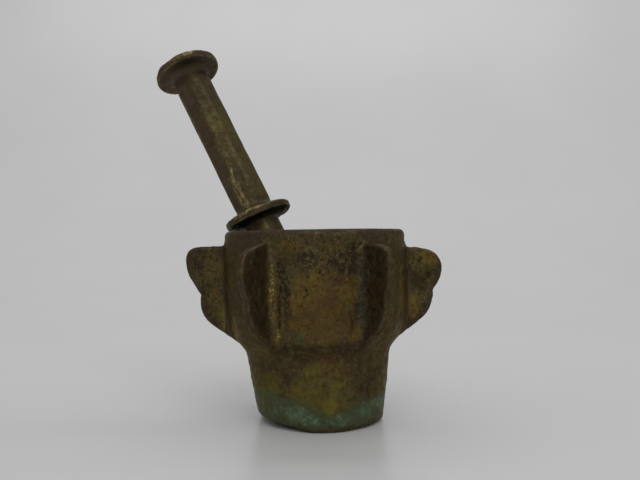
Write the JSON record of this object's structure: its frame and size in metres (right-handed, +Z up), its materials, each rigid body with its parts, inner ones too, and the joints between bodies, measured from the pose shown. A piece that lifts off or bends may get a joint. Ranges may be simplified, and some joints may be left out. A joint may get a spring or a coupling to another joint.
{
  "type": "mortar and pestle",
  "caption": "Small cast bronze mortar with lobed buttress ribs round its bowl, and a double-ended pestle with a grip collar and knob leaning inside it.",
  "frame": {"origin": "centre of the mortar's flat foot, on the surface it stands on", "axes": "+Z up out of the bowl, +X towards the rib on the side that the pestle leans away from, +Y from the front of the mortar to its back"},
  "size_m": [0.1495, 0.1124, 0.1901],
  "materials": {
    "mortar_bronze": "dark aged cast bronze, worn brassy on edges and panels, green patina low on the foot",
    "pestle_bronze": "dark aged cast bronze, smoothed and worn brassy where it is held"
  },
  "bodies": {
    "mortar": {"mortar": "mortar_bronze"},
    "pestle": {"pestle": "pestle_bronze"}
  },
  "joints": [
    {"name": "pestle_lift", "type": "slide", "parent": "mortar", "child": "pestle", "axis": [0, 0, 1], "range_m": [0, 0.11]}
  ]
}
